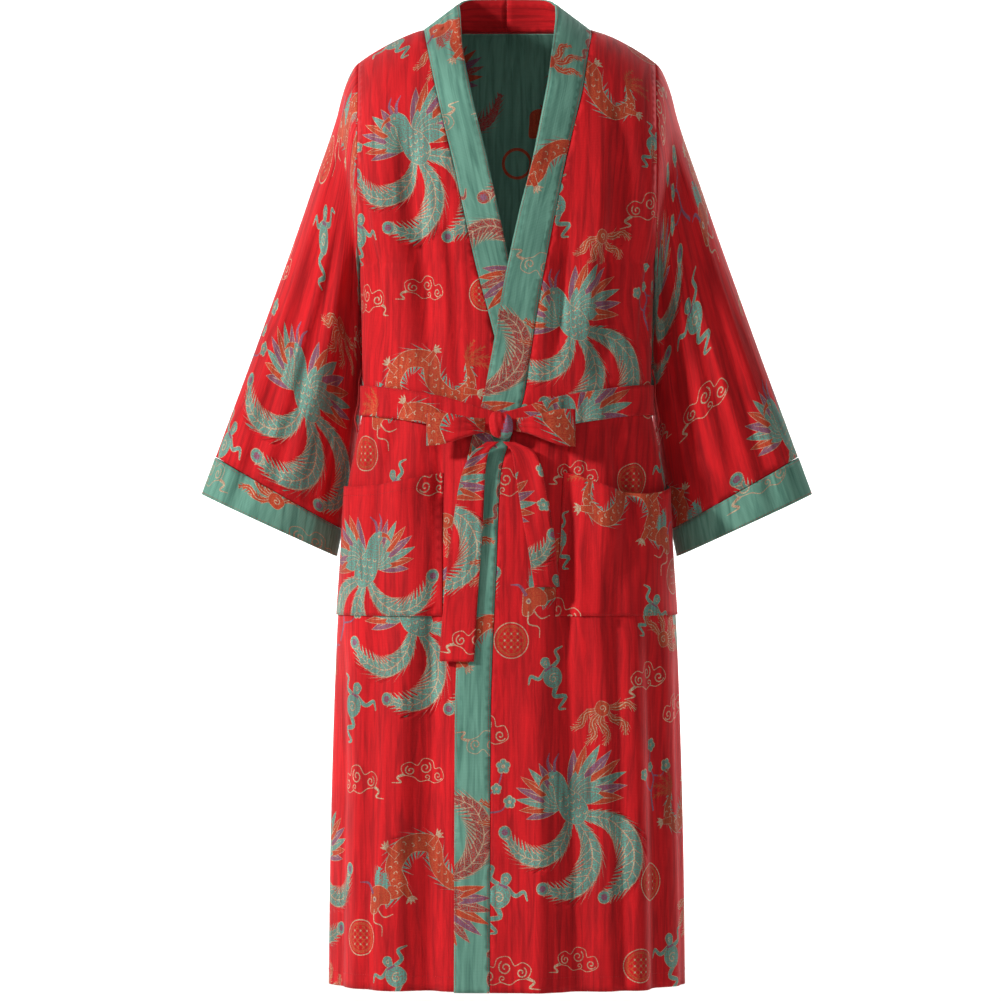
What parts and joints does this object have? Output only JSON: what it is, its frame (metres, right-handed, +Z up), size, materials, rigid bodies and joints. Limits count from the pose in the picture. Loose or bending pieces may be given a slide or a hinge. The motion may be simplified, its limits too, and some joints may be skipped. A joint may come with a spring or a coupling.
{
  "type": "yukata",
  "caption": "Long wrap robe in the yukata cut, worn shape with no wearer: dropped sleeves with contrast cuffs, one long neckband, patch pockets and a tied belt, open at neck, hem and cuffs",
  "frame": {"origin": "midway between the two points where the neckband crosses the shoulder seams", "axes": "+Z up along the garment, +X towards the wearer's left, front towards -Y"},
  "size_m": [0.7652, 0.2708, 1.2341],
  "materials": {
    "red_face": "crinkled red jacquard cloth with woven motifs, matt",
    "green_face": "reverse face of the same cloth, green ground, matt",
    "belt_cloth": "red jacquard cloth, doubled and stitched, matt",
    "thread": "chained red sewing thread"
  },
  "bodies": {
    "root": {"back": "red_face", "front_left": "red_face", "front_right": "red_face", "pocket_left": "red_face", "pocket_right": "red_face", "sleeve_left": "red_face", "sleeve_right": "red_face", "cuff_left": "green_face", "cuff_right": "green_face", "band_left": "green_face", "band_right": "green_face", "belt_waist": "belt_cloth", "belt_knot": "belt_cloth", "bow_left": "belt_cloth", "bow_right": "belt_cloth", "tail_left": "belt_cloth", "tail_right": "belt_cloth", "carrier_left": "thread", "carrier_right": "thread"}
  },
  "joints": []
}
